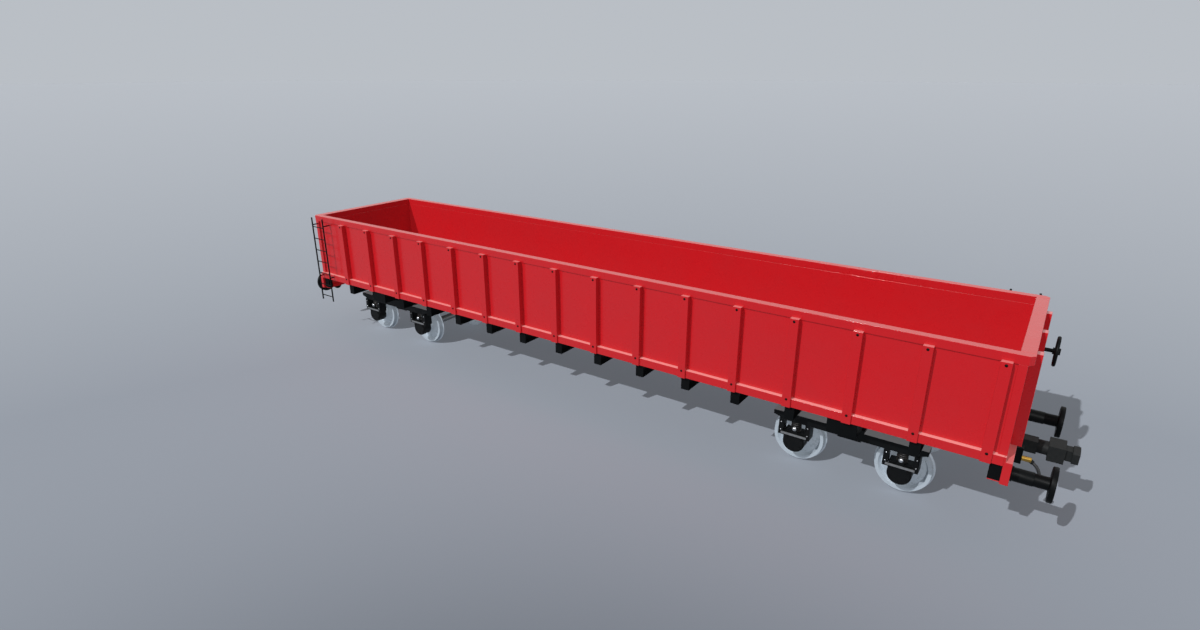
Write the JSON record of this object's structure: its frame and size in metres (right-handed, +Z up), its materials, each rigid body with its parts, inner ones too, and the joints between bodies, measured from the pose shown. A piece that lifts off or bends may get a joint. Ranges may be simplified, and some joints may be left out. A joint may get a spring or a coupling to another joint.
{
  "type": "four-axle open freight wagon",
  "caption": "Open-topped steel freight wagon with ribbed sides, centre couplers, side buffers, end ladders and handbrake wheel, on swivelling bogies with free-rolling wheelsets.",
  "frame": {"origin": "on the floor under the middle of the wagon, at the lowest points of the wheel flanges", "axes": "+X along the wagon to the end with the handbrake wheel, +Y across it to the far side of the picture, +Z up"},
  "size_m": [18.266, 3.5558, 3.1369],
  "materials": {
    "body_red": "semi-gloss paint",
    "deck_red": "matt worn paint",
    "underframe_black": "satin paint",
    "bogie_black": "satin paint",
    "cast_black": "rough casting, painted",
    "spring_steel": "satin paint",
    "wheel_steel": "machined",
    "axle_steel": "machined",
    "cock_brass": "bare casting",
    "hose_rubber": "matt"
  },
  "bodies": {
    "wagon": {"deck": "deck_red", "side_wall_near": "body_red", "side_wall_far": "body_red", "end_wall_front": "body_red", "end_wall_rear": "body_red", "top_rail_near": "body_red", "top_rail_far": "body_red", "top_rail_front": "body_red", "top_rail_rear": "body_red", "side_posts_near": "body_red", "side_posts_far": "body_red", "end_posts_front": "body_red", "end_posts_rear": "body_red", "side_sill_near": "body_red", "side_sill_far": "body_red", "headstock_front": "body_red", "headstock_rear": "body_red", "centre_sill": "underframe_black", "cross_bearers_near": "underframe_black", "cross_bearers_far": "underframe_black", "buffer_front_near": "underframe_black", "buffer_front_far": "underframe_black", "buffer_rear_near": "underframe_black", "buffer_rear_far": "underframe_black", "coupler_housing_front": "cast_black", "coupler_housing_rear": "cast_black", "coupler_front": "cast_black", "coupler_rear": "cast_black", "brake_pipe": "underframe_black", "brake_cock_front": "cock_brass", "brake_cock_rear": "cock_brass", "brake_hose": "hose_rubber", "hose_coupling": "cast_black", "handbrake_wheel": "underframe_black", "ladder_near": "underframe_black", "ladder_far": "underframe_black"},
    "bogie_front": {"bogie_front_side_frames": "bogie_black", "bogie_front_bolster": "bogie_black", "bogie_front_axle_boxes": "bogie_black", "bogie_front_springs": "spring_steel"},
    "bogie_rear": {"bogie_rear_side_frames": "bogie_black", "bogie_rear_bolster": "bogie_black", "bogie_rear_axle_boxes": "bogie_black", "bogie_rear_springs": "spring_steel"},
    "wheelset_1": {"axle_1": "axle_steel", "wheels_1": "wheel_steel"},
    "wheelset_2": {"axle_2": "axle_steel", "wheels_2": "wheel_steel"},
    "wheelset_3": {"axle_3": "axle_steel", "wheels_3": "wheel_steel"},
    "wheelset_4": {"axle_4": "axle_steel", "wheels_4": "wheel_steel"}
  },
  "joints": [
    {"name": "bogie_front_swivel", "type": "hinge", "parent": "wagon", "child": "bogie_front", "pos_m": [5.883, 0, 1.04], "axis": [0, 0, 1], "range_deg": [-5, 5]},
    {"name": "bogie_rear_swivel", "type": "hinge", "parent": "wagon", "child": "bogie_rear", "pos_m": [-5.883, 0, 1.04], "axis": [0, 0, 1], "range_deg": [-5, 5]},
    {"name": "wheelset_1_spin", "type": "hinge", "parent": "bogie_front", "child": "wheelset_1", "pos_m": [6.783, 0, 0.49], "axis": [0, 1, 0], "continuous": true},
    {"name": "wheelset_2_spin", "type": "hinge", "parent": "bogie_front", "child": "wheelset_2", "pos_m": [4.983, 0, 0.49], "axis": [0, 1, 0], "continuous": true},
    {"name": "wheelset_3_spin", "type": "hinge", "parent": "bogie_rear", "child": "wheelset_3", "pos_m": [-4.983, 0, 0.49], "axis": [0, 1, 0], "continuous": true},
    {"name": "wheelset_4_spin", "type": "hinge", "parent": "bogie_rear", "child": "wheelset_4", "pos_m": [-6.783, 0, 0.49], "axis": [0, 1, 0], "continuous": true}
  ]
}
